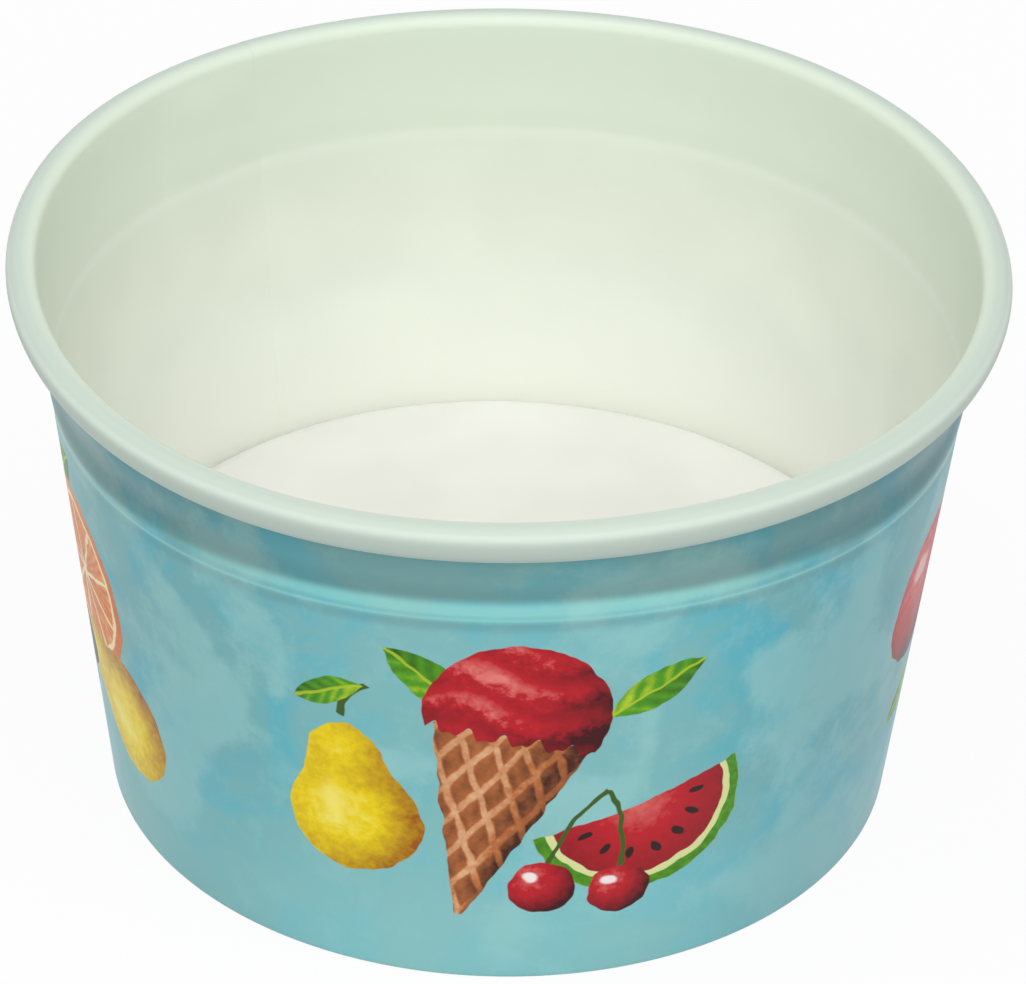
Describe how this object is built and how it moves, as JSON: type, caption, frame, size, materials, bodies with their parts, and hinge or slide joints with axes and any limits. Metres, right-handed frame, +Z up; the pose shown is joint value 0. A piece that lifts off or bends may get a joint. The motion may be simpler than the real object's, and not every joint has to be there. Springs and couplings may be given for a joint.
{
  "type": "paper ice cream cup",
  "caption": "Short, wide open paper cup with a rolled rim, a pressed bead below it, a lapped side seam and a recessed bottom disc, for ice cream.",
  "frame": {"origin": "centre of the base ring, on the surface that the cup stands on", "axes": "+Z up along the cup's axis, towards its mouth; -Y is the side that faces the viewer"},
  "size_m": [0.095, 0.095, 0.057],
  "materials": {
    "printed_board": "satin coated board, white inside and on the rim, light blue print outside",
    "white_board": "satin coated white board"
  },
  "bodies": {
    "root": {"sidewall": "printed_board", "bottom_disc": "white_board"}
  },
  "joints": []
}
